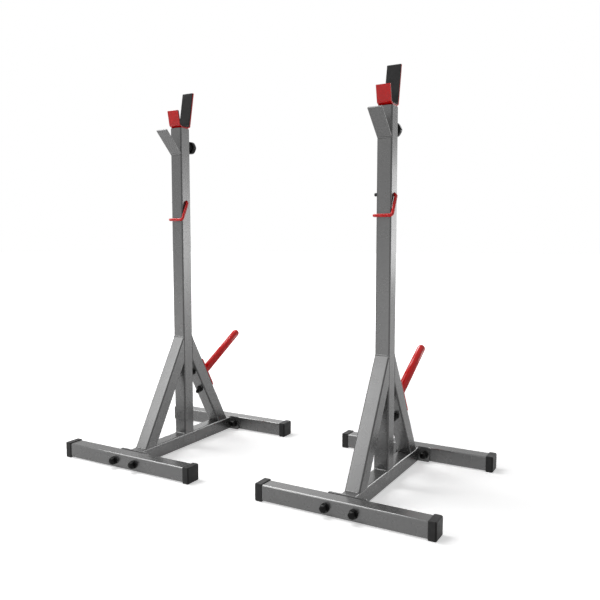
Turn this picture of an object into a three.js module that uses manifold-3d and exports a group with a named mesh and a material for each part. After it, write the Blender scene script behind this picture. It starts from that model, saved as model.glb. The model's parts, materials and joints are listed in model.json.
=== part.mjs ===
// A pair of free-standing squat stands with telescoping posts, in millimetres, +Z up.
// The two stands are copies of each other, side by side along X, and face -Y. The origin is on the
// floor, in the middle of the pair's outline. In a stand's own group X = 0 and Y = 0 lie on the post.
import * as THREE from "three";
import { mergeVertices } from "three/addons/utils/BufferGeometryUtils.js";
import Module from "manifold-3d";

const wasm = await Module();
wasm.setup();

// Layout of the pair
const standSpacing = 662;
const seam = 0.2; // clearance left between pieces that are welded, glued or bolted together
const overrun = 5; // how far a cutting tool runs past the material
const roundSides = 12; // sides of a turned piece
const holeSides = 10; // sides of a hole
const hexSides = 6;

// Square tube of the frame
const tubeSide = 40;
const tubeWall = 2;
const tubeCorner = 2.5;
const leastCornerShare = 0.25; // of a tube's outer corner, the least radius of its inner one

// Feet and spine
const footPitch = 480;
const footLength = 447;
const capWall = 1.9;
const capGrip = 15;
const capDome = 4.5;
const capDomeShare = 0.65; // of the cap's corner radius, how far its domed end draws in
const capDomeSteps = 2;
const capCornerSteps = 2;

// Flange plates and their bolts
const flangeThick = 5;
const flangeCorner = 4;
const flangeLip = 1.2; // how far the plate stands out above and below the tube
const flangeEdge = 14; // from a bolt's axis to the plate's end
const headClearance = 4.75; // between the spine's side and a bolt's head
const boltDrop = 1; // of the bolts' axes below the middle of the tube
const boltDiameter = 10;
const boltClearance = 0.5; // round the bolt, on the radius
const boltHeadDiameter = 22.5;
const frontHeadHeight = 15.5;
const rearHeadHeight = 19;
const boltCoverDiameter = 21.5; // of the hexagonal cover on the head, across its corners
const boltTail = 5; // how far the bolt stands out of its nut
const rimShare = 0.2; // of a covered head's height, its round rim
const coverSkirtShare = 0.5; // of a cover's height, its straight sides
const coverSteps = 2;
const nutAcross = 17;
const nutHeight = 8;

// Post and braces
const postTop = 961;
const heelGap = 22; // between a brace's heel and the end of the spine
const braceLean = THREE.MathUtils.degToRad(30); // from the vertical

// Lower rest on the front of the post
const restBelowTop = 78; // from the top of the post to the plate's lower edge
const restLength = 88;
const restWidth = 38;
const restThick = 4;
const restTilt = THREE.MathUtils.degToRad(45); // above the horizontal

// Inner post and its row of pin holes
const slideFit = 0.5; // between the two posts, on each side
const innerWall = 2;
const innerCorner = 3;
const holeCount = 13;
const holePitch = 40;
const holeEndMargin = 30; // from the lowest hole to the end of the tube

// Cup, a bent plate, and its liner
const cupWidth = 38;
const cupPlate = 4;
const cupFloor = 27;
const cupChamferRun = 11.5;
const cupChamferRise = 6;
const cupLipLength = 42.4;
const cupLipLean = THREE.MathUtils.degToRad(11.5);
const cupBackLength = 104.2;
const cupBackLean = THREE.MathUtils.degToRad(10.6);
const linerThick = 3;
const linerShort = 1; // how far the liner stops short of the plate's ends
const seatGap = 0.3; // between the cup and the post that it rests on

// Wire pin
const pinBelowTop = 215.5;
const pinDiameter = 8.5;
const pinFit = 0.5; // round the pin, on the radius
const pinTip = 13; // how far the tip stands out of the post
const pinEndShare = 0.6; // of the wire's radius, at its two tapered ends
const pinSideGap = 0.9; // between the post's side and the wire
const pinFrontGap = 1.25; // between the post's face and the wire
const pinDrop = 53;
const pinBend = 7;
const pinHook = 14;
const pinSteps = 38;
const pinSides = 8; // of the wire and of its holes in the inner post

// Clamp: welded boss, stud and star knob
const clampBelowTop = 51;
const bossDiameter = 19;
const bossLength = 5;
const studDiameter = 10;
const studFit = 0.25; // round the stud, on the radius
const studTipGap = 0.3;
const knobGap = 1;
const knobDiameter = 38;
const knobLobeDepth = 3;
const knobHubDiameter = 23;
const knobHubLength = 11.5;
const knobHeadLength = 16.5;
const knobHubTaper = 2; // how much smaller the hub's radius is at its start
const knobFlare = 4; // length over which the hub opens into the head
const knobRim = 2; // bevel round the head, towards the hub
const knobDome = 4; // length of the head's rounded end
const knobDomeShare = 0.4; // of the head's radius, how far its rounded end draws in
const knobLobes = 6;
const knobLobeSteps = 5;
const knobDomeSteps = 2;
const studInKnob = 18;

// Storage peg and its bracket on the rear brace
const pegPostGap = 5.7; // between the post and the axis of the upper cap nut, at its end
const pegLength = 219;
const pegDiameter = 24;
const pegWall = 2;
const pegSides = 16;
const bracketEdge = 18.5; // from a bolt's axis to the plate's end
const bracketWidth = 38;
const bracketThick = 4;
const bracketCorner = 4;
const pegBoltPitch = 70;
const pegBoltDiameter = 8;
const pegBoltHeadDiameter = 20;
const pegBoltHeadHeight = 9;
const pegBoltCoverDiameter = 16.5;
const pegNutDiameter = 20;
const pegNutBase = 7; // height of the nut's wide base
const pegNutCapDiameter = 13.5;
const pegNutHeight = 19;
const pegNutGripShare = 0.6; // of the nut's height, how far the bolt goes in
const pegDomeSteps = 3; // of the peg's round end
const pegNutSteps = 2;

// Places worked out from the sizes above
const half = tubeSide / 2;
const capOuter = tubeSide + 2 * (seam + capWall);
const tubeBottom = (capOuter - tubeSide) / 2;
const tubeCentre = tubeBottom + half;
const spineTop = tubeBottom + tubeSide;
const footFace = footPitch / 2 - half;
const spineEnd = footFace - flangeThick - 2 * seam;
const flangeBoltPitch = tubeSide + boltHeadDiameter + 2 * headClearance;
const braceReach = spineEnd - heelGap; // from the post's axis to the brace's heel on the spine
const pinHeight = postTop - pinBelowTop;
const clampHeight = postTop - clampBelowTop;
const innerSide = tubeSide - 2 * (tubeWall + slideFit);
const travel = (holeCount - 1) * holePitch;
const cupBase = postTop + seatGap;
const boltRadius = boltDiameter / 2;
const pinRadius = pinDiameter / 2;
const pegBoltRadius = pegBoltDiameter / 2;
const pegBoltHoleRadius = pegBoltRadius + boltClearance;
const pegNutReach = tubeSide + seam + pegNutHeight; // from the brace's outer face to the nut's end
const pegNutRun = pegNutReach * Math.cos(braceLean);
const upperPegBolt = (braceReach - half - pegPostGap - pegNutRun) / Math.sin(braceLean);
const pegAlong = upperPegBolt - pegBoltPitch / 2; // from the brace's heel, along its outer face

// Colours and finishes
const frameGrey = { color: 0x77787b, roughness: 0.42, metalness: 0.35 };
const signalRed = { color: 0xc4161d, roughness: 0.34, metalness: 0.05 };
const blackPlastic = { color: 0x17181a, roughness: 0.5, metalness: 0 };
const darkRubber = { color: 0x2b2b2d, roughness: 0.85, metalness: 0 };
const zincSteel = { color: 0xb9bcc0, roughness: 0.35, metalness: 0.9 };

// The axes that a profile's own X, Y and depth turn into, for a prism along each axis
const axisX = new THREE.Vector3(1, 0, 0);
const axisY = new THREE.Vector3(0, 1, 0);
const axisZ = new THREE.Vector3(0, 0, 1);
const prismAxes = {
  x: new THREE.Matrix4().makeBasis(axisY, axisZ, axisX),
  y: new THREE.Matrix4().makeBasis(axisZ, axisX, axisY),
  z: new THREE.Matrix4(),
};

// A rectangle with round corners, centred on its own origin.
function roundedRectangle(width, height, corner) {
  const x = width / 2 - corner;
  const y = height / 2 - corner;
  const quarter = Math.PI / 2;
  const shape = new THREE.Shape();
  shape.absarc(x, -y, corner, -quarter, 0);
  shape.absarc(x, y, corner, 0, quarter);
  shape.absarc(-x, y, corner, quarter, 2 * quarter);
  shape.absarc(-x, -y, corner, 2 * quarter, 3 * quarter);
  return shape;
}

// The section of a square tube.
function tubeSection(side, wall, corner) {
  const section = roundedRectangle(side, side, corner);
  const insideCorner = Math.max(corner - wall, corner * leastCornerShare);
  section.holes.push(roundedRectangle(side - 2 * wall, side - 2 * wall, insideCorner));
  return section;
}

function circle(radius) {
  const shape = new THREE.Shape();
  shape.absarc(0, 0, radius, 0, 2 * Math.PI);
  return shape;
}

// A shape drawn in the plane across an axis (y and z for x, z and x for y, x and y for z), made solid
// between two places on that axis.
function prism(axis, shape, from, to, curveSegments = 2) {
  const geometry = new THREE.ExtrudeGeometry(shape, {
    depth: to - from,
    bevelEnabled: false,
    curveSegments,
  });
  geometry.translate(0, 0, from);
  geometry.applyMatrix4(prismAxes[axis]);
  return geometry;
}

// A round rod along an axis, through a point.
function rod(axis, radius, from, to, x, y, z, sides = roundSides) {
  const geometry = prism(axis, circle(radius), from, to, sides / 2);
  geometry.translate(x, y, z);
  return geometry;
}

// A hexagonal head or nut, its size given across its flats, centred on its origin with its axis along Y.
function hexagon(across, height) {
  const radius = across / Math.sqrt(3);
  return new THREE.CylinderGeometry(radius, radius, height, hexSides);
}

// A bolt's head: a round rim and a hexagonal cover with a domed end, towards -Y from Y = 0.
function coveredHead(rimDiameter, coverDiameter, height) {
  const radius = coverDiameter / 2;
  const skirt = height * coverSkirtShare;
  const profile = [];
  for (let i = 0; i <= coverSteps; i++) {
    const turn = (i / coverSteps) * (Math.PI / 2);
    const drop = skirt + (height - skirt) * Math.cos(turn);
    profile.push(new THREE.Vector2(radius * Math.sin(turn), -drop));
  }
  profile.push(new THREE.Vector2(radius, 0), new THREE.Vector2(0, 0));
  const cover = new THREE.LatheGeometry(profile, hexSides);
  return join(cover, rod("y", rimDiameter / 2, -height * rimShare, 0, 0, 0, 0));
}

// A closed geometry as a solid that can be cut and joined.
function solid(geometry) {
  const bare = geometry.clone();
  bare.deleteAttribute("normal");
  bare.deleteAttribute("uv");
  const merged = mergeVertices(bare);
  const mesh = new wasm.Mesh({
    numProp: 3,
    vertProperties: merged.attributes.position.array,
    triVerts: new Uint32Array(merged.index.array),
  });
  return new wasm.Manifold(mesh);
}

// A solid as a flat-shaded geometry.
function surface(body) {
  const mesh = body.getMesh();
  const indexed = new THREE.BufferGeometry();
  indexed.setAttribute("position", new THREE.BufferAttribute(mesh.vertProperties, 3));
  indexed.setIndex(new THREE.BufferAttribute(mesh.triVerts, 1));
  const geometry = indexed.toNonIndexed();
  geometry.computeVertexNormals();
  return geometry;
}

function cut(geometry, ...tools) {
  const body = tools.reduce((left, tool) => left.subtract(solid(tool)), solid(geometry));
  return surface(body);
}

function join(geometry, ...others) {
  const body = others.reduce((sum, other) => sum.add(solid(other)), solid(geometry));
  return surface(body);
}

// A closed skin over rings of points, the same number in each, with a flat fan over each end.
function loft(rings) {
  const count = rings[0].length;
  const points = rings.flat();
  const faces = [];
  for (let ring = 0; ring < rings.length - 1; ring++) {
    for (let i = 0; i < count; i++) {
      const next = (i + 1) % count;
      const [a, b] = [ring * count + i, ring * count + next];
      const [c, d] = [a + count, b + count];
      faces.push(a, b, d, a, d, c);
    }
  }
  const last = (rings.length - 1) * count;
  for (let i = 1; i < count - 1; i++) {
    faces.push(0, i + 1, i, last, last + i, last + i + 1);
  }
  const geometry = new THREE.BufferGeometry().setFromPoints(points);
  geometry.setIndex(faces);
  geometry.computeVertexNormals();
  return geometry;
}

// A sub-part: a named mesh with a material of its own.
function part(name, geometry, finish) {
  const mesh = new THREE.Mesh(geometry, new THREE.MeshStandardMaterial(finish));
  mesh.name = name;
  return mesh;
}

// A line bent at its points, moved to its left by a distance, with the bends kept sharp.
function offsetLine(points, distance) {
  return points.map((point, i) => {
    const before = points[Math.max(i - 1, 0)];
    const after = points[Math.min(i + 1, points.length - 1)];
    const arriving = (i ? point.clone().sub(before) : after.clone().sub(point)).normalize();
    const leaving = (after === point ? arriving : after.clone().sub(point)).clone().normalize();
    const bisector = arriving.clone().add(leaving).normalize();
    const left = new THREE.Vector2(-bisector.y, bisector.x);
    const stretch = 1 / bisector.dot(arriving);
    return point.clone().addScaledVector(left, distance * stretch);
  });
}

// The outline of a plate that follows a bent line, between two distances to its left.
function bentPlate(line, near, far) {
  return new THREE.Shape([...offsetLine(line, near), ...offsetLine(line, far).reverse()]);
}

// The two bolt holes that a foot and its flange plate share, cut between two places along Y.
function flangeBoltHoles(from, to) {
  const radius = boltRadius + boltClearance;
  const hole = (side) => rod("y", radius, from, to, (side * flangeBoltPitch) / 2, 0, -boltDrop, holeSides);
  return [-1, 1].map(hole);
}

// One cross foot: a tube along X with its two bolt holes, at a place along Y.
function foot(y) {
  const tube = prism("x", tubeSection(tubeSide, tubeWall, tubeCorner), -footLength / 2, footLength / 2);
  const holes = flangeBoltHoles(-half - overrun, half + overrun);
  const geometry = cut(tube, ...holes);
  geometry.translate(0, y, tubeCentre);
  return geometry;
}

// The tube along the floor between the two flange plates.
function spine() {
  const geometry = prism("y", tubeSection(tubeSide, tubeWall, tubeCorner), -spineEnd, spineEnd);
  geometry.translate(0, 0, tubeCentre);
  return geometry;
}

// A flange plate with its two bolt holes, against the inner face of a foot.
function flange(side) {
  const outline = roundedRectangle(
    tubeSide + 2 * flangeLip,
    flangeBoltPitch + 2 * flangeEdge,
    flangeCorner,
  );
  const plate = prism("y", outline, -flangeThick / 2, flangeThick / 2);
  const holes = flangeBoltHoles(-flangeThick / 2 - overrun, flangeThick / 2 + overrun);
  const geometry = cut(plate, ...holes);
  geometry.translate(0, side * (footFace - seam - flangeThick / 2), tubeCentre);
  return geometry;
}

// A plastic sleeve over the end of a foot, with a domed end, at the +X end of a tube on the X axis.
function footCap() {
  const corner = tubeCorner + seam + capWall;
  const rim = footLength / 2 - capGrip;
  const wallEnd = footLength / 2 + seam;
  const ring = (x, inset) => {
    const side = capOuter - 2 * inset;
    const points = roundedRectangle(side, side, corner - inset).getPoints(capCornerSteps);
    return points.map((point) => new THREE.Vector3(x, point.x, point.y));
  };
  const rings = [ring(rim, 0)];
  for (let i = 0; i <= capDomeSteps; i++) {
    const turn = (i / capDomeSteps) * (Math.PI / 2);
    const inset = corner * capDomeShare * (1 - Math.cos(turn));
    rings.push(ring(wallEnd + capDome * Math.sin(turn), inset));
  }
  const room = roundedRectangle(tubeSide + 2 * seam, tubeSide + 2 * seam, tubeCorner);
  return cut(loft(rings), prism("x", room, rim - overrun, wallEnd));
}

// A bolt through a foot and its flange plate, along +Y from the face under its head, with its nut.
function footBolt(grip, headHeight) {
  const head = coveredHead(boltHeadDiameter, boltCoverDiameter, headHeight);
  head.translate(0, -seam, 0);
  const end = grip + seam + nutHeight + boltTail;
  const shank = rod("y", boltRadius, -seam - headHeight / 2, end, 0, 0, 0);
  const nut = hexagon(nutAcross, nutHeight);
  nut.translate(0, grip + seam + nutHeight / 2, 0);
  return join(head, shank, nut);
}

// The upright: a tube with a pin hole through both sides and the clamp hole through its back.
function outerPost() {
  const tube = prism("z", tubeSection(tubeSide, tubeWall, tubeCorner), spineTop + seam, postTop);
  const pinHole = rod("x", pinRadius + pinFit, -half - overrun, half + overrun, 0, 0, pinHeight);
  const clampHole = rod("y", studDiameter / 2 + studFit, 0, half + overrun, 0, 0, clampHeight);
  return cut(tube, pinHole, clampHole);
}

// The sliding tube, with its row of pin holes, as it stands in its lowest position.
function innerPost() {
  const bottom = pinHeight - travel - holeEndMargin;
  const tube = prism("z", tubeSection(innerSide, innerWall, innerCorner), bottom, cupBase - seam);
  const holes = Array.from({ length: holeCount }, (_, i) =>
    rod("x", pinRadius + pinFit, -half, half, 0, 0, pinHeight - i * holePitch, pinSides),
  );
  return cut(tube, ...holes);
}

// A sloping tube from the post's back down to the spine, mitred at both ends. Z runs up the brace and
// Y out of its outer face in the frame of its heel, where its bolt holes are placed.
function brace(boltPlaces) {
  const length = braceReach / Math.sin(braceLean);
  const tube = prism("z", tubeSection(tubeSide, tubeWall, tubeCorner), -tubeSide, length);
  tube.translate(0, -half, 0);
  const holes = boltPlaces.map((place) =>
    rod("y", pegBoltHoleRadius, -tubeSide - overrun, overrun, 0, 0, place, holeSides),
  );
  const geometry = boltPlaces.length ? cut(tube, ...holes) : tube;
  geometry.applyMatrix4(heelFrame());
  const room = new THREE.BoxGeometry(2 * tubeSide, 2 * braceReach, 2 * length);
  room.translate(0, half + seam + braceReach, spineTop + seam + length);
  return surface(solid(geometry).intersect(solid(room)));
}

// The frame at the heel of the rear brace: Y out of its outer face and Z up along it.
function heelFrame() {
  const frame = new THREE.Matrix4().makeRotationX(braceLean);
  return frame.setPosition(0, braceReach, spineTop);
}

// The angled plate on the front of the post, its lower end cut to the post's face.
function lowerRest() {
  const rise = Math.sin(restTilt);
  const run = Math.cos(restTilt);
  const root = new THREE.Vector2(-half - seam, postTop - restBelowTop);
  const along = new THREE.Vector2(-run, rise);
  const across = new THREE.Vector2(rise, run);
  const tip = root.clone().addScaledVector(along, restLength);
  const outline = new THREE.Shape([
    root,
    new THREE.Vector2(root.x, root.y + restThick / run),
    tip.clone().addScaledVector(across, restThick),
    tip,
  ]);
  return prism("x", outline, -restWidth / 2, restWidth / 2);
}

// The outer line of the cup's plate, from the top of its lip round to the top of its back, in Y and Z.
function cupLine() {
  const floorEnd = cupFloor / 2;
  const chamferEnd = floorEnd + cupChamferRun;
  const shoulder = cupBase + cupChamferRise;
  return [
    new THREE.Vector2(
      -chamferEnd - cupLipLength * Math.sin(cupLipLean),
      shoulder + cupLipLength * Math.cos(cupLipLean),
    ),
    new THREE.Vector2(-chamferEnd, shoulder),
    new THREE.Vector2(-floorEnd, cupBase),
    new THREE.Vector2(floorEnd, cupBase),
    new THREE.Vector2(chamferEnd, shoulder),
    new THREE.Vector2(
      chamferEnd + cupBackLength * Math.sin(cupBackLean),
      shoulder + cupBackLength * Math.cos(cupBackLean),
    ),
  ];
}

function cup() {
  return prism("x", bentPlate(cupLine(), 0, cupPlate), -cupWidth / 2, cupWidth / 2);
}

// The rubber inside the cup, a little short of the plate's two ends.
function cupLiner() {
  const line = cupLine();
  const last = line.length - 1;
  const shorten = (end, next) => {
    const inwards = line[next].clone().sub(line[end]).normalize();
    line[end].addScaledVector(inwards, linerShort);
  };
  shorten(0, 1);
  shorten(last, last - 1);
  const near = cupPlate + seam;
  const outline = bentPlate(line, near, near + linerThick);
  return prism("x", outline, -cupWidth / 2 + seam, cupWidth / 2 - seam);
}

// The wire pin: through the post along X, down beside it, across its face and back round its side,
// with its two ends tapered. Its own origin is on the axis of the hole.
function lockPin() {
  const side = half + pinSideGap + pinRadius;
  const front = -half - pinFrontGap - pinRadius;
  const corners = [
    new THREE.Vector3(-half - pinTip, 0, 0),
    new THREE.Vector3(side, 0, 0),
    new THREE.Vector3(side, front, -pinDrop),
    new THREE.Vector3(-side, front, -pinDrop),
    new THREE.Vector3(-side, front + pinHook, -pinDrop),
  ];
  const path = new THREE.CurvePath();
  let from = corners[0];
  for (let i = 1; i < corners.length - 1; i++) {
    const corner = corners[i];
    const towards = (other) => {
      const reach = Math.min(pinBend, corner.distanceTo(other) / 2);
      return corner.clone().addScaledVector(other.clone().sub(corner).normalize(), reach);
    };
    const start = towards(corners[i - 1]);
    const end = towards(corners[i + 1]);
    path.add(new THREE.LineCurve3(from, start));
    path.add(new THREE.QuadraticBezierCurve3(start, corner, end));
    from = end;
  }
  path.add(new THREE.LineCurve3(from, corners[corners.length - 1]));
  const frames = path.computeFrenetFrames(pinSteps);
  const rings = frames.normals.map((normal, i) => {
    const centre = path.getPointAt(i / pinSteps);
    const radius = i % pinSteps ? pinRadius : pinRadius * pinEndShare;
    return Array.from({ length: pinSides }, (_, k) => {
      const turn = (k / pinSides) * 2 * Math.PI;
      const point = centre.clone().addScaledVector(normal, radius * Math.cos(turn));
      return point.addScaledVector(frames.binormals[i], radius * Math.sin(turn));
    });
  });
  return loft(rings);
}

// The welded boss on the back of the post, threaded for the stud. Its own origin is on the post's face.
function clampNut() {
  const boss = rod("y", bossDiameter / 2, seam, bossLength, 0, 0, 0);
  return cut(boss, rod("y", studDiameter / 2 + studFit, -overrun, bossLength + overrun, 0, 0, 0));
}

// The stud, from the face of the inner post into the knob, seen from the post's face.
function clampStud() {
  const tip = -tubeWall - slideFit + studTipGap;
  return rod("y", studDiameter / 2, tip, bossLength + knobGap + studInKnob, 0, 0, 0);
}

// The star knob: a round hub that opens into a lobed head with a domed end, one lobe towards +X. It
// sits on the stud.
function clampKnob() {
  const start = bossLength + knobGap;
  const neck = start + knobHubLength;
  const flared = neck + knobFlare / 2;
  const end = neck + knobHeadLength;
  const count = knobLobes * knobLobeSteps;
  const ring = (y, radius, lobe) =>
    Array.from({ length: count }, (_, i) => {
      const turn = (i / count) * 2 * Math.PI;
      const r = radius - (lobe * (1 + Math.cos(knobLobes * turn))) / 2;
      return new THREE.Vector3(r * Math.sin(turn), y, r * Math.cos(turn));
    });
  const hub = knobHubDiameter / 2;
  const head = knobDiameter / 2;
  const rings = [
    ring(start, hub - knobHubTaper, 0),
    ring(neck - knobFlare / 2, hub, 0),
    ring(flared, head - knobRim, knobLobeDepth),
    ring(flared + knobRim, head, knobLobeDepth),
  ];
  for (let i = 0; i <= knobDomeSteps; i++) {
    const turn = (i / knobDomeSteps) * (Math.PI / 2);
    const left = 1 - knobDomeShare * (1 - Math.cos(turn));
    rings.push(ring(end - knobDome * (1 - Math.sin(turn)), head * left, knobLobeDepth * left));
  }
  const body = loft(rings);
  const bore = rod("y", studDiameter / 2 + studFit, -overrun, start + studInKnob + studFit, 0, 0, 0);
  return cut(body, bore);
}

// The peg's bracket, on the outer face of the rear brace, in the heel's frame.
function pegBracket() {
  const length = pegBoltPitch + 2 * bracketEdge;
  const plate = prism("y", roundedRectangle(length, bracketWidth, bracketCorner), 0, bracketThick);
  const holes = pegBoltPlaces().map((place) =>
    rod("y", pegBoltHoleRadius, -overrun, bracketThick + overrun, 0, 0, place - pegAlong),
  );
  const geometry = cut(plate, ...holes);
  geometry.translate(0, seam, pegAlong);
  return geometry;
}

// How far up the brace the two bolts of the bracket are.
function pegBoltPlaces() {
  return [-1, 1].map((side) => pegAlong + (side * pegBoltPitch) / 2);
}

// The peg: a tube along +Y, open against its bracket, with a round closed end.
function storagePeg() {
  const outer = pegDiameter / 2;
  const inner = outer - pegWall;
  const start = 2 * seam + bracketThick;
  const end = pegLength - outer;
  const profile = [
    new THREE.Vector2(0, end),
    new THREE.Vector2(inner, end),
    new THREE.Vector2(inner, start),
    new THREE.Vector2(outer, start),
  ];
  for (let i = 0; i < pegDomeSteps; i++) {
    const turn = (i / pegDomeSteps) * (Math.PI / 2);
    profile.push(new THREE.Vector2(outer * Math.cos(turn), end + outer * Math.sin(turn)));
  }
  profile.push(new THREE.Vector2(0, pegLength));
  const geometry = new THREE.LatheGeometry(profile, pegSides);
  geometry.translate(0, 0, pegAlong);
  return geometry;
}

// A bolt of the bracket: its head on the plate, its shank through the brace towards -Y.
function pegBolt() {
  const face = 2 * seam + bracketThick;
  const head = coveredHead(pegBoltHeadDiameter, pegBoltCoverDiameter, pegBoltHeadHeight);
  head.rotateX(Math.PI);
  head.translate(0, face, 0);
  const end = -tubeSide - seam - pegNutHeight * pegNutGripShare;
  return join(head, rod("y", pegBoltRadius, end, face + pegBoltHeadHeight / 2, 0, 0, 0));
}

// A cap nut on the inner face of the brace: a wide base and a domed cap on it, towards -Y, with a blind
// hole for the bolt.
function pegNut() {
  const face = -tubeSide - seam;
  const bore = pegBoltRadius + boltClearance;
  const bottom = face - pegNutHeight * pegNutGripShare - boltClearance;
  const base = pegNutDiameter / 2;
  const cap = pegNutCapDiameter / 2;
  const domeStart = face - pegNutHeight + cap;
  const profile = [];
  for (let i = 0; i <= pegNutSteps; i++) {
    const turn = (i / pegNutSteps) * (Math.PI / 2);
    profile.push(new THREE.Vector2(cap * Math.sin(turn), domeStart - cap * Math.cos(turn)));
  }
  profile.push(new THREE.Vector2(cap, face - pegNutBase), new THREE.Vector2(base, face - pegNutBase));
  profile.push(new THREE.Vector2(base, face), new THREE.Vector2(bore, face));
  profile.push(new THREE.Vector2(bore, bottom), new THREE.Vector2(0, bottom));
  return new THREE.LatheGeometry(profile, roundSides);
}

// Everything of one stand, its post on the group's own Z axis.
function stand(prefix) {
  const group = new THREE.Group();
  const add = (name, geometry, finish, x = 0, y = 0, z = 0) => {
    const mesh = part(prefix + name, geometry, finish);
    mesh.position.set(x, y, z);
    group.add(mesh);
    return mesh;
  };

  // Base
  const footY = { front: -footPitch / 2, rear: footPitch / 2 };
  for (const [name, y] of Object.entries(footY)) {
    add(name + "_foot", foot(y), frameGrey);
    add(name + "_flange", flange(Math.sign(y)), frameGrey);
    add(name + "_foot_cap_a", footCap(), blackPlastic, 0, y, tubeCentre).rotation.z = Math.PI;
    add(name + "_foot_cap_b", footCap(), blackPlastic, 0, y, tubeCentre);
  }
  add("spine", spine(), frameGrey);

  // The bolts' heads all face the front: on the front foot, and on the rear flange plate.
  const grip = tubeSide + seam + flangeThick;
  const headFace = { front: footY.front - half, rear: footFace - seam - flangeThick };
  const headHeight = { front: frontHeadHeight, rear: rearHeadHeight };
  const boltZ = tubeCentre - boltDrop;
  for (const [name, y] of Object.entries(headFace)) {
    const bolt = () => footBolt(grip, headHeight[name]);
    add(name + "_foot_bolt_a", bolt(), blackPlastic, -flangeBoltPitch / 2, y, boltZ);
    add(name + "_foot_bolt_b", bolt(), blackPlastic, flangeBoltPitch / 2, y, boltZ);
  }

  // Upright and braces
  add("outer_post", outerPost(), frameGrey);
  add("front_brace", brace([]), frameGrey).rotation.z = Math.PI;
  add("rear_brace", brace(pegBoltPlaces()), frameGrey);
  add("lower_rest", lowerRest(), frameGrey);

  // Height adjustment
  add("inner_post", innerPost(), signalRed);
  add("cup", cup(), signalRed);
  add("cup_liner", cupLiner(), darkRubber);
  add("lock_pin", lockPin(), signalRed, 0, 0, pinHeight);
  add("clamp_nut", clampNut(), frameGrey, 0, half, clampHeight);
  add("clamp_stud", clampStud(), zincSteel, 0, half, clampHeight);
  add("clamp_knob", clampKnob(), blackPlastic, 0, half, clampHeight);

  // Storage peg, in the frame of the rear brace
  const heel = new THREE.Group();
  heel.position.set(0, braceReach, spineTop);
  heel.rotation.x = braceLean;
  group.add(heel);
  heel.add(part(prefix + "peg_bracket", pegBracket(), signalRed));
  heel.add(part(prefix + "storage_peg", storagePeg(), signalRed));
  pegBoltPlaces().forEach((place, i) => {
    const name = prefix + ["lower", "upper"][i];
    const bolt = part(name + "_peg_bolt", pegBolt(), blackPlastic);
    const nut = part(name + "_peg_nut", pegNut(), blackPlastic);
    bolt.position.z = place;
    nut.position.z = place;
    heel.add(bolt, nut);
  });
  return group;
}

// The pair, with the middle of its outline over the origin.
const squatStands = new THREE.Group();
[-1, 1].forEach((side) => {
  const copy = stand(side < 0 ? "left_" : "right_");
  copy.position.x = (side * standSpacing) / 2;
  squatStands.add(copy);
});
const outline = new THREE.Box3().setFromObject(squatStands, true);
const middle = outline.getCenter(new THREE.Vector3());
for (const copy of squatStands.children) copy.position.y = -middle.y;

export default squatStands;
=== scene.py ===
"""The looks of a pair of squat stands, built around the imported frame. Lengths are in metres."""
import json
import math
import random

import bmesh
import bpy
from mathutils import Matrix, Vector


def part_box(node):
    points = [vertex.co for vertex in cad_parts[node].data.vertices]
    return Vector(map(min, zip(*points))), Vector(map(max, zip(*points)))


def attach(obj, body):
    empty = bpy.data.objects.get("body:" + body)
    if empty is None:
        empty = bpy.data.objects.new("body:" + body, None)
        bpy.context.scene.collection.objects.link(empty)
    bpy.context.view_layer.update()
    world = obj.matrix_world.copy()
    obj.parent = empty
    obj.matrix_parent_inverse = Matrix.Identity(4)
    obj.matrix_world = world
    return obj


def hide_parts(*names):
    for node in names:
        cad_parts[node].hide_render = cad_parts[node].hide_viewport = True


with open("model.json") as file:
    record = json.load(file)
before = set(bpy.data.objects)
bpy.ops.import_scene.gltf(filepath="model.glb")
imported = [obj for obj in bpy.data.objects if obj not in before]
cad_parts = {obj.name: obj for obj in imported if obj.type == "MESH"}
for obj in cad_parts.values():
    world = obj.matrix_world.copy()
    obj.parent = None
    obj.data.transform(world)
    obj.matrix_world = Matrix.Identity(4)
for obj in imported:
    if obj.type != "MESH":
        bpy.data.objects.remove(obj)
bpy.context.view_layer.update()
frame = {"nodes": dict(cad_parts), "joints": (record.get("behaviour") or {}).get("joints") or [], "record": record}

MM = 0.001
STANDS = ("left", "right")

# Camera, solved from the photograph's perspective
CAMERA_PLACE = Vector((0.97099, -1.55539, 0.62869))  # from the floor midway between the two posts
CAMERA_TURN = math.radians(29.799)  # to the right of straight in front
CAMERA_DROP = math.radians(5.101)  # looking down
CAMERA_LENS = 39.544  # millimetres
CAMERA_SENSOR = 36  # millimetres wide
CAMERA_REACH = 100  # how far it sees

# Tubes of the frame
HALF = 20 * MM  # of the square tube's side
TUBE_CORNER = 4 * MM
TUBE_WALL = 2 * MM
SEAM = 0.2 * MM  # left between pieces that are joined
BRACE_LEAN = math.radians(30)
BRACE_DEPTH = 2 * HALF / math.cos(BRACE_LEAN)  # of the brace, cut level
BRACE_HEIGHT = 2 * HALF / math.sin(BRACE_LEAN)  # of the brace, cut upright
BRACE_REACH = 192.6 * MM  # from the post's axis to the brace's heel

# Round shapes, edges and flat faces
CORNER_STEPS = 6  # in the corner of an outline, and in a bend
TURNED_SIDES = 48
NEARLY_ALONG = 0.9  # cosine past which a path runs along an axis
SAME_POINT = 0.001 * MM  # vertices closer than this are one
FLAT_TURN = math.radians(1)  # faces that turn less than this are one
EDGE_TURN = math.radians(50)  # edges that turn more than this are broken
CREASE_TURN = math.radians(40)  # edges of turned metal that stay sharp in shading

# Radii of the broken edges
PLATE_EDGE = 0.4 * MM
TUBE_EDGE = 0.2 * MM
POST_EDGE = 0.3 * MM
INNER_EDGE = 0.25 * MM
CUP_EDGE = 0.6 * MM
LINER_EDGE = 0.7 * MM

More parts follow.
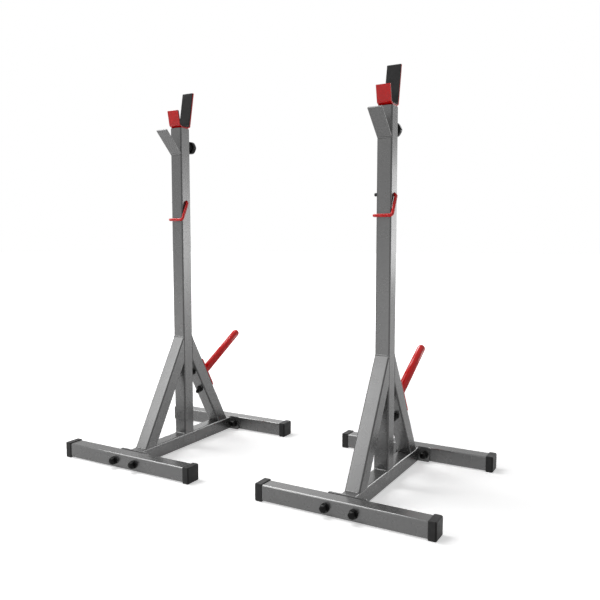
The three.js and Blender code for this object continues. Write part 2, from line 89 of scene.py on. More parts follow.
# Sleeve caps of the feet
CAP_WALL = 1.9 * MM
CAP_DOME = 4.5 * MM
CAP_EDGE = 3 * MM  # how far the domed end draws in
CAP_CORNER = 1.8 * MM
CAP_DISH = ((9 * MM, 0.2 * MM), (4 * MM, 0), (CAP_EDGE, 0.12 * MM))  # end face: how far in, how deep
CAP_RIM = ((0, 1.4 * MM), (0.4 * MM, 0.6 * MM), (1.4 * MM, 0))  # broken rim: off the width, along the tube
CAP_STEPS = 6  # of its rounded end
CAP_CORNER_SHARE = 0.25  # of what a ring draws in by, how much its corners' radius grows

# Marks on the vertices, which the coats read as painted shade and painted highlight
PAINTED_CORNER_LIGHT = "corner"  # along corners: 1 where shade is painted in, -1 where a highlight is painted in and the coat is glossier
CORNER_SPREAD = 1.4  # how wide a tube's painted corner shade and highlight are
CAP_END_PAINTED_SHADE = 0.55  # how much shade is painted on a cap's end face, beside its rounded rim, which gets the full painted shade
CAP_END_EDGE = 0.5 * MM  # along the tube, where that rim and its painted shade begin and end

# Sliding post
INNER_SIDE = 35 * MM
INNER_WALL = 2 * MM
INNER_CORNER = 3 * MM
HOLE_COUNT = 13
HOLE_PITCH = 40 * MM
HOLE_RADIUS = 4.75 * MM
HOLE_SIDES = 24

# Cup and liner
CUP_WIDTH = 38 * MM
CUP_PLATE = 4 * MM
CUP_FLOOR = 27 * MM  # from front to back, along the underside
CUP_RUN = 11.5 * MM  # of the slope on either side of the floor, front to back
CUP_RISE = 6 * MM  # of that slope
CUP_LIP = 42.4 * MM  # length of the front plate
CUP_LIP_LEAN = math.radians(11.5)
CUP_BACK = 104.2 * MM  # length of the back plate
CUP_BACK_LEAN = math.radians(10.6)
CUP_BEND = 4 * MM  # radius outside the bends
CUP_SEAT = 0.3 * MM  # between the post and the cup
LINER = 3 * MM
LINER_SHORT = 1 * MM  # how far it stops below the plate's ends
LINER_BEND = 0.8 * MM  # least radius of the liner's bends

# Wire pin
PIN_RADIUS = 4.25 * MM
PIN_TIP = 13 * MM  # how far it stands out of the post
PIN_SIDE_GAP = 0.9 * MM  # between the post's side and the wire
PIN_FRONT_GAP = 1.25 * MM  # between the post's face and the wire
PIN_DROP = 53 * MM  # from the hole down to the stretch across the face
PIN_HOOK = 14 * MM  # of the wire's end, back round the post's other side
PIN_BEND = 7 * MM
PIN_BEND_STEPS = 10
PIN_SIDES = 20
PIN_TAPER = (  # distance from an end of the wire, and share of its radius there
    (0, 0.35), (0.5 * MM, 0.55), (1.4 * MM, 0.72), (2.8 * MM, 0.88), (4.4 * MM, 1.0),
)
PIN_TIP_ROWS = (  # the dark steel tip: share of the wire's radius, and distance from the wire's end
    (0.3, -0.25 * MM), (0.6, -0.12 * MM), (0.9, 0.4 * MM), (1.04, 1.4 * MM), (1.05, 3 * MM),
    (1.05, 8.6 * MM), (1.02, 8.9 * MM),
)
PIN_TIP_SIDES = 24

# Clamp on the back of the post. The rows are outlines of turned pieces: radius and height in millimetres
STUD_RADIUS = 5 * MM
STUD_LENGTH = 12 * MM
THREAD_PITCH = 1.5 * MM
THREAD_DEPTH = 0.9 * MM
THREAD_SIDES = 24
THREAD_STEPS = 6  # rings in a turn of the thread
BOSS_ROWS = ((9.5, 0.2), (9.5, 4.2), (9.2, 4.8), (8.6, 5), (5.6, 5), (5.3, 4.6))
KNOB_LOBES = 6
KNOB_SIDES = 96
KNOB_ROWS = (  # radius, depth between the lobes, and height
    (8.6, 0, 6), (9.3, 0, 6.2), (9.7, 0, 6.8), (11.4, 0, 14.6), (12.1, 0, 16), (13.6, 0.1, 17),
    (15.6, 0.4, 17.7), (17.4, 0.7, 18.1), (18.5, 0.8, 18.9), (19, 0.8, 20.2), (19, 0.8, 30.4),
    (18.7, 0.8, 31.9), (17.9, 0.8, 33), (16.6, 0.7, 33.7), (14.6, 0.4, 34), (12, 0.2, 34),
    (9.9, 0, 33.9), (9.5, 0, 33.5), (9.3, 0, 32.8), (8.9, 0, 32.5), (2, 0, 32.7),
)

# Bolts, nuts and their covers. A third value in a row is the share of a hexagon in the outline
BOLT_RADIUS = 5 * MM
BOLT_GRIP = 45.4 * MM  # from under the head to under the nut
BOLT_TAIL = 13 * MM  # nut and free end together
COVER_RIM = 11.25 * MM
COVER_BODY = 10.75 * MM
FOOT_COVERS = (  # foot, the piece whose front face its bolts' covers are on, and their height
    ("front_foot", "front_foot", 15.5 * MM), ("rear_foot", "rear_flange", 19 * MM),
)
COVER_RIM_SHARES = ((1, 0, 0), (1, 0.08, 0), (0.985, 0.11, 0), (0.96, 0.13, 0))  # of radius and height
COVER_BODY_SHARES = (
    (1, 0.14, 0.4), (1, 0.18, 0.9), (1, 0.25, 1), (0.985, 0.5, 1), (0.95, 0.66, 0.9), (0.87, 0.83, 0.75),
    (0.74, 0.91, 0.55), (0.56, 0.965, 0.3), (0.34, 0.99, 0.1), (0.1, 1, 0),
)
FLANGE_NUT_ROWS = (
    (10.4, 0), (10.5, 0.3), (10.5, 1.2), (10.2, 1.5), (9.9, 1.9, 0.6), (9.8, 2.4, 1), (9.8, 7.1, 1),
    (9.4, 7.6, 0.6), (8.5, 8), (5.2, 8),
)
CAP_NUT_ROWS = (
    (10, 0), (10, 1.6), (9.8, 2.1), (9.3, 2.4), (9.2, 2.9, 0.8), (9.1, 3.4, 1), (9, 6, 1),
    (8.6, 6.6, 0.8), (7.9, 7, 0.3), (7.1, 7.3), (6.8, 7.9), (6.75, 12.2),
)
CAP_NUT_DOME = 6.75 * MM
CAP_NUT_SHOULDER = 12.25 * MM
CAP_NUT_STEPS = 7

# Storage peg
PEG_RADIUS = 12 * MM
PEG_LENGTH = 219 * MM
PEG_STEPS = 8  # of its rounded end
DOME_FLAT = 0.4  # of a step, the flat on top of a rounded end
BRACKET_THICK = 4 * MM
PEG_BOLT_PITCH = 70 * MM
UPPER_PEG_BOLT = 231.3 * MM  # up the brace from its heel
PEG_COVER_RIM = 10 * MM
PEG_COVER_BODY = 8.25 * MM
PEG_COVER_HEIGHT = 9 * MM

# Weld beads. The first five values are their radii
POST_WELD = 3 * MM  # across the foot of the post and the brace's head and heel
UNDER_WELD = 2.6 * MM  # across the corner under a brace's head
SIDE_WELD = 1.9 * MM  # along a tube's side and round a flange
REST_WELD = 2.4 * MM  # in the lower rest's corner, and round the peg
SEAM_WELD = 1.8 * MM  # under the lower rest and round the boss
HEAD_WELD_SHIFT = (-1.2 * MM, -1 * MM)  # from the corner that a bead fills: outward and up
UNDER_WELD_SHIFT = (0.6 * MM, -2.6 * MM)
HEEL_WELD_SHIFT = (-0.8 * MM, -0.4 * MM)
REST_WELD_SHIFT = (1.8 * MM, 8.5 * MM)  # the same, from the post's face and the rest's lower edge
WELD_REACH = HALF - 1.5 * MM  # half the length of a bead across a tube
SEAM_REACH = 18 * MM  # the same under the lower rest
REST_REACH = 17 * MM  # and in its corner
SIDE_INSET = 2.3 * MM  # of the side beads from the tube's side
FLANGE_RING = 2 * HALF - 1 * MM  # side of the bead round a flange
FLANGE_RING_STEPS = 3  # in each of its corners
BOSS_RING = 9.5 * MM  # radius of the bead round the boss
BOSS_RING_SIDES = 30
PEG_RING_SIDES = 36
BEAD_SIDES = 10
RIPPLE = 1.2 * MM  # from one ripple of a bead to the next
RIPPLE_DEPTH = 0.07  # of a bead's radius
RIPPLE_CHANCE = 0.05  # most of what chance adds to it or takes off
BEAD_END = 0.55  # share of its radius at a bead's end
BEAD_DRAW = 0.2  # how much it gains with each ripple from there

# Shades of a coat's own colour, its painted corner shade and highlight, and how uneven its roughness is
FLAKE_DARK = 0.94
FLAKE_PALE = 1.06
DRIFT_DARK = 0.97
# painted shade and painted highlight along marked corners, as tints of the coat's colour
CORNER_PAINTED_SHADE = 0.1
CORNER_PAINTED_HIGHLIGHT = 1.4
CORNER_GLOSS = (0.1, 0.4)  # most roughness of a corner with painted highlight, at its middle and at its edge
COAT_UNEVEN = 0.015
COAT_PEEL = 0.01 * MM  # height of the finest bumps
MOULD_DARK = 0.85
MOULD_PALE = 1.2
MOULD_UNEVEN = 0.06
PLATE_DARK = 0.8
PLATE_BRIGHT = 0.1
PLATE_DULL = 0.12

# Stage. Levels are shares of plain white, and powers are in watts
WORLD_LEVEL = 0.32  # of the light that the studio gives
FLOOR_SIZE = 60
FLOOR_TONE = 0.9
FLOOR_GLOW = 0.45  # of the floor itself where it takes the shadow
FLOOR_NEAR = 0.9  # from the middle of the pair, where the floor starts to turn plain white
FLOOR_FAR = 2.4  # and where it is
LAMPS = (  # name, place, what it faces, width and height, power, and whether it is a card
    ("front_panel", (-4.7, -5.4, 5.5), (0, 0, 0.4), (3.6, 3.4), 165, False),
    ("right_card", (4.9, 4.3, 0.6), (0, 0, 0.5), (2.6, 1.3), 50, True),
    ("window_card", (2.0, 4.4, 0.84), (0.3, 0, 0.7), (1.2, 1.1), 15, True),
    ("left_panel", (-3.8, 6.1, 2.2), (0, 0, 0.1), (2.4, 2.2), 15, False),
    ("edge_panel", (-2.2, -0.2, 3.8), (0, 0, 0), (1.3, 2.8), 90, False),
    ("back_card", (-2.6, 2.6, 4.2), (0, 0, 0.7), (1.6, 2.0), 80, True),
    ("rim_card", (1.3, 5.2, 3.2), (0, 0, 0), (2.2, 1.6), 45, True),
)


def shade(grey):
    """A grey, or a red, green and blue, from 0 to 255, as the linear colour that a shader takes.

    The numbers inside are those of the standard curve for screen colours.
    """
    def linear(value):
        c = value / 255
        return c / 12.92 if c <= 0.04045 else ((c + 0.055) / 1.055) ** 2.4
    r, g, b = (grey, grey, grey) if isinstance(grey, (int, float)) else grey
    return (linear(r), linear(g), linear(b), 1.0)


# Materials


class Shader:
    """A Principled material and the short calls that add nodes to it."""

    def __init__(self, name, colour, roughness, metallic=0.0, level=0.5):
        self.material = bpy.data.materials.new(name)
        self.material.use_nodes = True
        self.nodes = self.material.node_tree.nodes
        self.links = self.material.node_tree.links
        self.main = self.nodes["Principled BSDF"]
        self.main.inputs["Base Color"].default_value = colour
        self.main.inputs["Roughness"].default_value = roughness
        self.main.inputs["Metallic"].default_value = metallic
        self.main.inputs["Specular IOR Level"].default_value = level
        self.place = self.nodes.new("ShaderNodeTexCoord").outputs["Object"]

    def noise(self, scale, detail=2.0):
        node = self.nodes.new("ShaderNodeTexNoise")
        node.inputs["Scale"].default_value = scale
        node.inputs["Detail"].default_value = detail
        self.links.new(self.place, node.inputs["Vector"])
        return node.outputs["Fac"]

    def spread(self, value, low, high, start=0.3, end=0.7):
        """A texture value from start to end, as a value from low to high."""
        node = self.nodes.new("ShaderNodeMapRange")
        node.inputs["From Min"].default_value = start
        node.inputs["From Max"].default_value = end
        node.inputs["To Min"].default_value = low
        node.inputs["To Max"].default_value = high
        self.links.new(value, node.inputs["Value"])
        return node.outputs["Result"]

    def mix(self, value, first, second):
        """A colour between two, each a fixed colour or another node's output."""
        node = self.nodes.new("ShaderNodeMix")
        node.data_type = "RGBA"
        self.links.new(value, node.inputs["Factor"])
        for name, colour in (("A", first), ("B", second)):
            if isinstance(colour, tuple):
                node.inputs[name].default_value = colour
            else:
                self.links.new(colour, node.inputs[name])
        return node.outputs["Result"]

    def lower(self, first, second):
        """The lower of two values."""
        node = self.nodes.new("ShaderNodeMath")
        node.operation = "MINIMUM"
        self.links.new(first, node.inputs[0])
        self.links.new(second, node.inputs[1])
        return node.outputs[0]

    def corner_light_mask(self, low, high, start, end):
        """A value from low to high as the painted shade and highlight mark on a piece's vertices goes from start
        to end.
        """
        node = self.nodes.new("ShaderNodeAttribute")
        node.attribute_name = PAINTED_CORNER_LIGHT
        return self.spread(node.outputs["Fac"], low, high, start, end)

    def paint(self, colour):
        self.links.new(colour, self.main.inputs["Base Color"])

    def vary_roughness(self, value):
        self.links.new(value, self.main.inputs["Roughness"])

    def bump(self, value, height):
        node = self.nodes.new("ShaderNodeBump")
        node.inputs["Strength"].default_value = 1.0
        node.inputs["Distance"].default_value = height
        self.links.new(value, node.inputs["Height"])
        self.links.new(node.outputs["Normal"], self.main.inputs["Normal"])


def tint(colour, factor):
    """A colour made darker or paler."""
    return tuple(c * factor for c in colour[:3]) + (1.0,)


def powder_coat(name, colour, roughness, metallic, level, edge=1.0, corner=0.0):
    """Powder coat: a fine orange peel, a grain of flakes, and a slow drift of tone.

    Edge is the tint of grazing reflections, and corner how strong the painted shade and painted highlight along a
    tube's marked corners are.
    """
    coat = Shader(name, colour, roughness, metallic, level)
    coat.main.inputs["Specular Tint"].default_value = (edge, edge, edge, 1)
    grain = coat.spread(coat.noise(scale=1400, detail=1), 0, 1)
    drift = coat.spread(coat.noise(scale=9), 0, 1)
    flakes = coat.mix(grain, tint(colour, FLAKE_DARK), tint(colour, FLAKE_PALE))
    tone = coat.mix(drift, flakes, tint(colour, DRIFT_DARK))
    gloss = coat.spread(coat.noise(scale=30), roughness - COAT_UNEVEN, roughness + COAT_UNEVEN)
    if corner:
        # painted shade along the corners marked 1
        tone = coat.mix(coat.corner_light_mask(0, corner, 0, 1), tone, tint(colour, CORNER_PAINTED_SHADE))
        # painted highlight, with a glossier coat, along the corners marked -1
        tone = coat.mix(coat.corner_light_mask(corner, 0, -1, 0), tone, tint(colour, CORNER_PAINTED_HIGHLIGHT))
        gloss = coat.lower(gloss, coat.corner_light_mask(*CORNER_GLOSS, -1, 0))
    coat.paint(tone)
    coat.vary_roughness(gloss)
    coat.bump(coat.noise(scale=700), COAT_PEEL)
    return coat.material


def moulding(name, colour, roughness, level, grain, depth, corner=0.0):
    """Moulded plastic or rubber: a fine eroded grain of some scale and depth, paler where it is rubbed.

    Corner is how much shade is painted on the marked corners.
    """
    body = Shader(name, colour, roughness, 0.0, level)
    rubbed = body.spread(body.noise(scale=45), 0, 1)
    tone = body.mix(rubbed, tint(colour, MOULD_DARK), tint(colour, MOULD_PALE))
    if corner:
        # painted shade on the marked vertices
        tone = body.mix(body.corner_light_mask(0, corner, 0, 1), tone, tint(colour, CORNER_PAINTED_SHADE))
    body.paint(tone)
    dull = body.noise(scale=60)
    body.vary_roughness(body.spread(dull, roughness - MOULD_UNEVEN, roughness + MOULD_UNEVEN))
    body.bump(body.noise(grain, detail=3), depth)
    return body.material


def plated(name, colour, roughness):
    """Dark or zinc-plated steel: a grain of fine crystals with dull and bright patches."""
    metal = Shader(name, colour, roughness, metallic=1.0)
    metal.paint(metal.mix(metal.spread(metal.noise(scale=320), 0, 1), tint(colour, PLATE_DARK), colour))
    patches = metal.noise(scale=160)
    metal.vary_roughness(metal.spread(patches, roughness - PLATE_BRIGHT, roughness + PLATE_DULL))
    metal.bump(metal.noise(scale=900), COAT_PEEL)
    return metal.material


# its corner tints are painted shade along posts and braces and painted highlight along the tops of feet and spine
GREY = powder_coat(
    "grey_powder_coat", shade(110), roughness=0.27, metallic=0.7, level=0.4, edge=0.75, corner=0.5,
)
RED = powder_coat("red_powder_coat", shade((212, 4, 6)), roughness=0.15, metallic=0.0, level=0.3)
BLACK = moulding("black_moulding", shade(7), roughness=0.25, level=0.12, grain=1500, depth=0.02 * MM)
# its corner tint is painted shade on the caps' rounded ends
CAP_BLACK = moulding(
    "grained_black_moulding", shade(53),
    roughness=0.5, level=0.13, grain=1100, depth=0.04 * MM, corner=0.75,
)
RUBBER = moulding("charcoal_rubber", shade(49), roughness=0.75, level=0.15, grain=800, depth=0.08 * MM)
ZINC = plated("zinc_plate", shade(190), roughness=0.35)
DARK_STEEL = plated("dark_tip_steel", shade(52), roughness=0.4)
FINISH = {
    "grey_paint": GREY, "red_paint": RED, "black_plastic": BLACK, "rubber": RUBBER, "zinc_steel": ZINC,
}


def dress(node, material):
    """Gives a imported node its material, smooth shading and broken edges, and leaves its mesh as it is."""
    body = frame["nodes"][node]
    body.data.materials.clear()
    body.data.materials.append(material)
    for face in body.data.polygons:
        face.use_smooth = True
    weld = body.modifiers.new("merge", "WELD")
    weld.merge_threshold = SAME_POINT
    plane = body.modifiers.new("flatten", "DECIMATE")
    plane.decimate_type = "DISSOLVE"
    plane.angle_limit = FLAT_TURN
    break_edges(body, PLATE_EDGE)


def break_edges(body, width, segments=2):
    """Rounds the sharp edges of a body and keeps its flat faces flat in shading."""
    edge = body.modifiers.new("edges", "BEVEL")
    edge.limit_method = "ANGLE"
    edge.angle_limit = EDGE_TURN
    edge.width = width
    edge.segments = segments
    edge.use_clamp_overlap = True
    even_normals(body)


def even_normals(body):
    """Shades rounded edges by the large faces beside them, so that those look flat."""
    weights = body.modifiers.new("weights", "WEIGHTED_NORMAL")
    weights.weight = 100
    weights.keep_sharp = False


for row in frame["record"]["subparts"]:
    dress(row["node"], FINISH[row["material_slot"]])


# Shapes


def loft(rings, closed=False):
    """A skin over rings of as many points each, closed by flat ends or back on its first ring."""
    mesh = bmesh.new()
    rows = [[mesh.verts.new(point) for point in ring] for ring in rings]
    pairs = list(zip(rows, rows[1:]))
    if closed:
        pairs.append((rows[-1], rows[0]))
    else:
        mesh.faces.new(rows[0][::-1])
        mesh.faces.new(rows[-1])
    count = len(rows[0])
    for lower, upper in pairs:
        for i in range(count):
            j = (i + 1) % count
            mesh.faces.new((lower[i], lower[j], upper[j], upper[i]))
    return mesh


def joined(meshes):
    """One mesh of several separate closed shells."""
    whole = bmesh.new()
    for mesh in meshes:
        data = bpy.data.meshes.new("part")
        mesh.to_mesh(data)
        mesh.free()
        whole.from_mesh(data)
        bpy.data.meshes.remove(data)
    return whole


def rounded_rectangle(width, height, corner, steps=CORNER_STEPS):
    """The points of a rectangle with round corners, anticlockwise, centred on its origin."""
    points = []
    for quarter, (right, up) in enumerate(((1, 1), (-1, 1), (-1, -1), (1, -1))):
        centre = Vector((right * (width / 2 - corner), up * (height / 2 - corner)))
        for i in range(steps + 1):
            turn = (quarter + i / steps) * math.pi / 2
            points.append(centre + corner * Vector((math.cos(turn), math.sin(turn))))
    return points


def fillet(points, radius, steps=CORNER_STEPS):
    """A line through points, its bends rounded to arcs."""
    line = [points[0]]
    for before, corner, after in zip(points, points[1:], points[2:]):
        arriving = (corner - before).normalized()
        leaving = (after - corner).normalized()
        turn = arriving.angle(leaving)
        side = (leaving - arriving * arriving.dot(leaving)).normalized()
        start = corner - arriving * radius * math.tan(turn / 2)
        for i in range(steps + 1):
            angle = turn * i / steps
            line.append(start + radius * (arriving * math.sin(angle) + side * (1 - math.cos(angle))))
    return line + [points[-1]]


def beside(points, distance):
    """A line bent at its points in a plane, moved to its left, with the bends kept sharp."""
    moved = []
    for i, point in enumerate(points):
        arriving = (point - points[i - 1]).normalized() if i else (points[1] - point).normalized()
        leaving = (points[i + 1] - point).normalized() if i + 1 < len(points) else arriving
        middle = (arriving + leaving).normalized()
        moved.append(point + Vector((-middle.y, middle.x)) * distance / middle.dot(arriving))
    return moved


def swept(path, radius, count, shares=None, closed=False):
    """A round rod along a path. Shares, one for each point, scale its radius."""
    first = (path[1] - path[0]).normalized()
    across = Vector((1, 0, 0)) if abs(first.x) < NEARLY_ALONG else Vector((0, 1, 0))
    rings = []
    last = len(path) - 1
    for i, point in enumerate(path):
        if closed:
            forward = (path[(i + 1) % len(path)] - path[i - 1]).normalized()
        else:
            forward = (path[min(i + 1, last)] - path[max(i - 1, 0)]).normalized()
        across = (across - forward * across.dot(forward)).normalized()
        up = forward.cross(across)
        size = radius * (shares[i] if shares else 1)
        turns = [2 * math.pi * k / count for k in range(count)]
        rings.append([point + size * (across * math.cos(t) + up * math.sin(t)) for t in turns])
    return loft(rings, closed)


def hexagon(turn):
    """How far a hexagon's edge is from its centre in a direction, as a share of its corner's distance."""
    sixth = math.pi / 3
    return math.cos(sixth / 2) / math.cos((turn + sixth / 2) % sixth - sixth / 2)


def star(turn):
    """How deep a direction lies between the knob's soft lobes, as a share of the full depth."""
    return (1 - math.cos(KNOB_LOBES * turn)) / 2


def turned(profile, count=TURNED_SIDES):
    """A body round the Z axis from rows of radius, height, and the share of a hexagon in its outline."""
    rings = []
    for radius, height, *six in profile:
        share = six[0] if six else 0
        ring = []
        for i in range(count):
            turn = 2 * math.pi * i / count
            reach = radius * (1 - share + share * hexagon(turn))
            ring.append(Vector((reach * math.sin(turn), reach * math.cos(turn), height)))
        rings.append(ring[::-1])
    return loft(rings)


def in_metres(rows):
    """Rows of an outline in millimetres, as rows in metres."""
    return [(radius * MM, height * MM, *six) for radius, height, *six in rows]


def dome(radius, base, steps):
    """Rows of a rounded end, up to the small flat that closes it."""
    turns = [i / (steps + DOME_FLAT) * math.pi / 2 for i in range(1, steps + 1)]
    return [(radius * math.cos(turn), base + radius * math.sin(turn)) for turn in turns]


def facing(place, direction):
    """A frame at a place with its Z axis along a direction, and its Y axis as near upright as it can be."""
    turn = Vector(direction).to_track_quat("Z", "Y")
    return Matrix.Translation(place) @ turn.to_matrix().to_4x4()


class Stand:
    """One of the two stands, with its post on its own Z axis."""

    def __init__(self, side):
        low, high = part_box(side + "_outer_post")
        self.side = side
        self.origin = Vector(((low.x + high.x) / 2, (low.y + high.y) / 2, 0))
        self.post_top = high.z
        self.spine_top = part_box(side + "_spine")[1].z
        self.spine_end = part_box(side + "_spine")[1].y - self.origin.y
        heel = Matrix.Translation((0, BRACE_REACH, self.spine_top))
        self.heel = heel @ Matrix.Rotation(BRACE_LEAN, 4, "X")
        joints = {joint["name"]: joint for joint in frame["joints"]}
        self.pin_height = joints[side + "_pin_swing"]["pos_m"][2]
        self.clamp_height = joints[side + "_clamp_turn"]["pos_m"][2]

    def middle(self, node):
        """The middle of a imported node's box, seen from this stand's axis."""
        low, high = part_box(self.side + "_" + node)
        return (low + high) / 2 - self.origin

    def add(self, name, mesh, material, slot, body="root", where=Matrix(), node=None, creased=False):
        """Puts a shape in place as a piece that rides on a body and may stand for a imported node."""
        mesh.transform(Matrix.Translation(self.origin) @ where)
        bmesh.ops.recalc_face_normals(mesh, faces=mesh.faces)
        data = bpy.data.meshes.new(self.side + "_" + name)
        mesh.to_mesh(data)
        mesh.free()
        data.materials.append(material)
        for face in data.polygons:
            face.use_smooth = True
        if creased:
            data.set_sharp_from_angle(angle=CREASE_TURN)
        piece = bpy.data.objects.new(data.name, data)
        bpy.context.scene.collection.objects.link(piece)
        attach(piece, body if body == "root" else self.side + "_" + body)
        if node:
            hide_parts(self.side + "_" + node)
        return piece


# Frame tubes


def straight_tube(side, wall, corner, start, stop):
    """A square tube along Z."""
    outer = rounded_rectangle(side, side, corner)
    inner = rounded_rectangle(side - 2 * wall, side - 2 * wall, corner - wall)
    rings = [[Vector((p.x, p.y, z)) for p in outer] for z in (start, stop)]
    rings += [[Vector((p.x, p.y, z)) for p in inner] for z in (stop, start)]
    return loft(rings, closed=True)


def paint_corner_light(piece, where, sign):
    """Marks painted shade along all four corners of a tube that lies along a place's Z axis, or with -1 painted
    highlight along the upper two.
    """
    back = where.inverted()
    light_mark = piece.data.attributes.new(PAINTED_CORNER_LIGHT, "FLOAT", "POINT")
    flat = HALF - TUBE_CORNER
    for vertex, value in zip(piece.data.vertices, light_mark.data):
        place = back @ vertex.co
        turn = math.atan2(max(abs(place.y) - flat, 0), max(abs(place.x) - flat, 0))
        if sign > 0 or vertex.co.z > HALF:
            value.value = sign * min(1, CORNER_SPREAD * math.sin(2 * turn))


def brace(stand, node, turn):
    """A sloping tube, cut level on the spine and upright on the post."""
    sine, cosine = math.sin(BRACE_LEAN), math.cos(BRACE_LEAN)
    rings = []
    for side, corner in ((2 * HALF, TUBE_CORNER), (2 * (HALF - TUBE_WALL), TUBE_CORNER - TUBE_WALL)):
        outline = [Vector((p.x, p.y - HALF)) for p in rounded_rectangle(side, side, corner)]
        foot = [Vector((p.x, p.y, (SEAM - p.y * sine) / cosine)) for p in outline]
        head = [Vector((p.x, p.y, (BRACE_REACH + p.y * cosine - HALF - SEAM) / sine)) for p in outline]
        rings += [head, foot] if rings else [foot, head]
    where = Matrix.Rotation(turn, 4, "Z") @ stand.heel
    piece = stand.add(node, loft(rings, closed=True), GREY, "grey_paint", where=where, node=node)
    # painted shade along all four of the brace's corners
    paint_corner_light(piece, Matrix.Translation(stand.origin) @ where @ Matrix.Translation((0, -HALF, 0)), 1)
    break_edges(piece, TUBE_EDGE, 1)


def frame_tubes(stand):
    """The feet, spine, post and braces, with the soft corners of rolled tube."""
    lie_along = {"x": Matrix.Rotation(math.pi / 2, 4, "Y"), "y": Matrix.Rotation(-math.pi / 2, 4, "X")}
    for node, axis in (("front_foot", "x"), ("rear_foot", "x"), ("spine", "y")):
        low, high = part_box(stand.side + "_" + node)
        half = (high - low)["xy".index(axis)] / 2
        tube = straight_tube(2 * HALF, TUBE_WALL, TUBE_CORNER, -half, half)
        where = Matrix.Translation(stand.middle(node)) @ lie_along[axis]
        piece = stand.add(node, tube, GREY, "grey_paint", where=where, node=node)
        # painted highlight along the upper two corners of feet and spine
        paint_corner_light(piece, Matrix.Translation(stand.origin) @ where, -1)
        break_edges(piece, TUBE_EDGE, 1)
    low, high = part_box(stand.side + "_outer_post")
    tube = straight_tube(2 * HALF, TUBE_WALL, TUBE_CORNER, low.z, high.z)
    post = stand.add("outer_post", tube, GREY, "grey_paint", node="outer_post")
    drill(stand, post, [stand.pin_height])
    # painted shade along all four of the post's corners
    paint_corner_light(post, Matrix.Translation(stand.origin), 1)
    break_edges(post, POST_EDGE)
    brace(stand, "front_brace", math.pi)
    brace(stand, "rear_brace", 0)


# Foot caps and bolts


def foot_cap(stand, node, direction):
    """A sleeve cap: a flat band with a broken rim, and a rounded outer end that hides the tube's end."""
    side = 2 * (HALF + SEAM + CAP_WALL)
    bore = 2 * HALF + SEAM
    low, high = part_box(stand.side + "_" + node)
    length = high.x - low.x
    band = length - CAP_DOME
    rows = [(side - 2 * inset, length - depth) for inset, depth in CAP_DISH]
    for i in range(1, CAP_STEPS + 1):
        turn = i / CAP_STEPS * math.pi / 2
        rows.append((side - 2 * CAP_EDGE * (1 - math.sin(turn)), band + CAP_DOME * math.cos(turn)))
    rows += [(side - inset, along) for inset, along in CAP_RIM]
    rows += [(bore, 0), (bore, band)]
    rings = []
    for width, along in rows:
        radius = CAP_CORNER + ((side - width) * CAP_CORNER_SHARE if width > bore else 0)
        rings.append([Vector((along, p.x, p.y)) for p in rounded_rectangle(width, width, radius)])
    start = stand.middle(node) - Vector((direction * length / 2, 0, 0))
    turn = Matrix() if direction > 0 else Matrix.Rotation(math.pi, 4, "Z")
    where = Matrix.Translation(start) @ turn
    piece = stand.add(node, loft(rings), CAP_BLACK, "black_plastic", where=where, node=node)
    # painted shade: full on the rounded outer end, less on the end face
    light_mark = piece.data.attributes.new(PAINTED_CORNER_LIGHT, "FLOAT", "POINT")
    for vertex, value in zip(piece.data.vertices, light_mark.data):
        along = abs(vertex.co.x - stand.origin.x - start.x)
        if along > band + CAP_END_EDGE:
            value.value = 1 if along < length - CAP_END_EDGE else CAP_END_PAINTED_SHADE
    even_normals(piece)


def cover(rim, body, height):
    """A bolt's plastic cover: a round rim and a six-sided dome on it."""
    rows = [(rim * share, height * up, six) for share, up, six in COVER_RIM_SHARES]
    rows += [(body * share, height * up, six) for share, up, six in COVER_BODY_SHARES]
    return turned(rows)


def thread(radius, length):
    """A threaded rod along Z with a chamfered end."""
    rings = []
    steps = round(length / THREAD_PITCH * THREAD_STEPS)
    for i in range(steps + 1):
        height = length * i / steps
        ring = []
        for k in range(THREAD_SIDES):
            share = (height / THREAD_PITCH - k / THREAD_SIDES) % 1
            reach = radius - THREAD_DEPTH * abs(2 * share - 1)
            reach = min(reach, radius - THREAD_DEPTH + length - height)
            turn = 2 * math.pi * k / THREAD_SIDES
            ring.append(Vector((reach * math.cos(turn), reach * math.sin(turn), height)))
        rings.append(ring)
    return loft(rings)


def foot_bolt(stand, node, carrier, height):
    """A bolt through foot and flange: its cover on a carrier's front face, its nut and end at the back."""
    centre = stand.middle(node)
    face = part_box(stand.side + "_" + carrier)[0].y - stand.origin.y
    head = Vector((centre.x, face - SEAM, centre.z))
    cap = cover(COVER_RIM, COVER_BODY, height)
    stand.add(node, cap, BLACK, "black_plastic", where=facing(head, (0, -1, 0)), node=node)
    seat = Vector((centre.x, face + BOLT_GRIP, centre.z))
    parts = joined([turned(in_metres(FLANGE_NUT_ROWS)), thread(BOLT_RADIUS, BOLT_TAIL)])
    stand.add(node + "_nut", parts, ZINC, "zinc_steel", where=facing(seat, (0, 1, 0)), creased=True)


# Sliding post, cup and liner


def inner_post(stand):
    """The sliding tube with its row of round pin holes through both side walls."""
    low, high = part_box(stand.side + "_inner_post")
    tube = straight_tube(INNER_SIDE, INNER_WALL, INNER_CORNER, low.z, high.z)
    holes = [stand.pin_height - i * HOLE_PITCH for i in range(HOLE_COUNT)]
    piece = stand.add("inner_post", tube, RED, "red_paint", "slider", node="inner_post")
    drill(stand, piece, holes)
    break_edges(piece, INNER_EDGE, 1)


